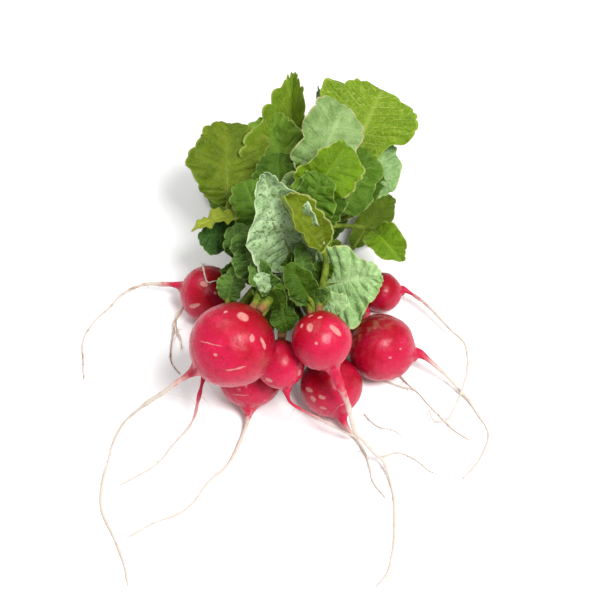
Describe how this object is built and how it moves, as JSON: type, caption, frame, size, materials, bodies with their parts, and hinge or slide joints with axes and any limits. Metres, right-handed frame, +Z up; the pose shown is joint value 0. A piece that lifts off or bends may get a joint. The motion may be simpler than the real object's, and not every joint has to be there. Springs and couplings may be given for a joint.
{
  "type": "bunch of radishes",
  "caption": "Fresh bunch of small round red radishes with long tail roots and green leaves, tied and lying on a table.",
  "frame": {"origin": "middle of the bunch's box, on the surface that it lies on", "axes": "+Z up, tail roots toward -Y, leaves toward +Y, +X to the right"},
  "size_m": [0.213, 0.2754, 0.1088],
  "materials": {
    "radish_skin": "satin",
    "leaf_green": "matte",
    "band_tan": "matte"
  },
  "bodies": {
    "root": {"radish_A": "radish_skin", "radish_B": "radish_skin", "radish_C": "radish_skin", "radish_D": "radish_skin", "radish_E": "radish_skin", "radish_F": "radish_skin", "radish_G": "radish_skin", "radish_H": "radish_skin", "radish_I": "radish_skin", "radish_J": "radish_skin", "leaf_left_broad": "leaf_green", "leaf_left_behind": "leaf_green", "leaf_centre_jade": "leaf_green", "leaf_centre_tall": "leaf_green", "leaf_centre_edge": "leaf_green", "leaf_right_fan": "leaf_green", "leaf_right_mint": "leaf_green", "leaf_right_pale": "leaf_green", "leaf_right_bright": "leaf_green", "leaf_right_dark": "leaf_green", "leaf_right_small": "leaf_green", "leaf_right_hanging": "leaf_green", "leaf_right_ovate": "leaf_green", "leaf_front_drooping": "leaf_green", "leaf_front_flap": "leaf_green", "leaf_front_speckled": "leaf_green", "leaf_front_middle": "leaf_green", "leaf_left_narrow": "leaf_green", "leaf_left_teal": "leaf_green", "leaf_young_pointed": "leaf_green", "leaf_young_upright": "leaf_green", "leaf_young_low": "leaf_green", "leaf_young_hanging": "leaf_green", "leaf_young_curled": "leaf_green", "leaf_ground_left": "leaf_green", "leaf_ground_left_middle": "leaf_green", "leaf_ground_middle": "leaf_green", "leaf_ground_right_middle": "leaf_green", "leaf_ground_low_left": "leaf_green", "leaf_ground_low_middle": "leaf_green", "leaf_ground_low_right": "leaf_green", "leaf_ground_right": "leaf_green", "tie_band": "band_tan"}
  },
  "joints": []
}
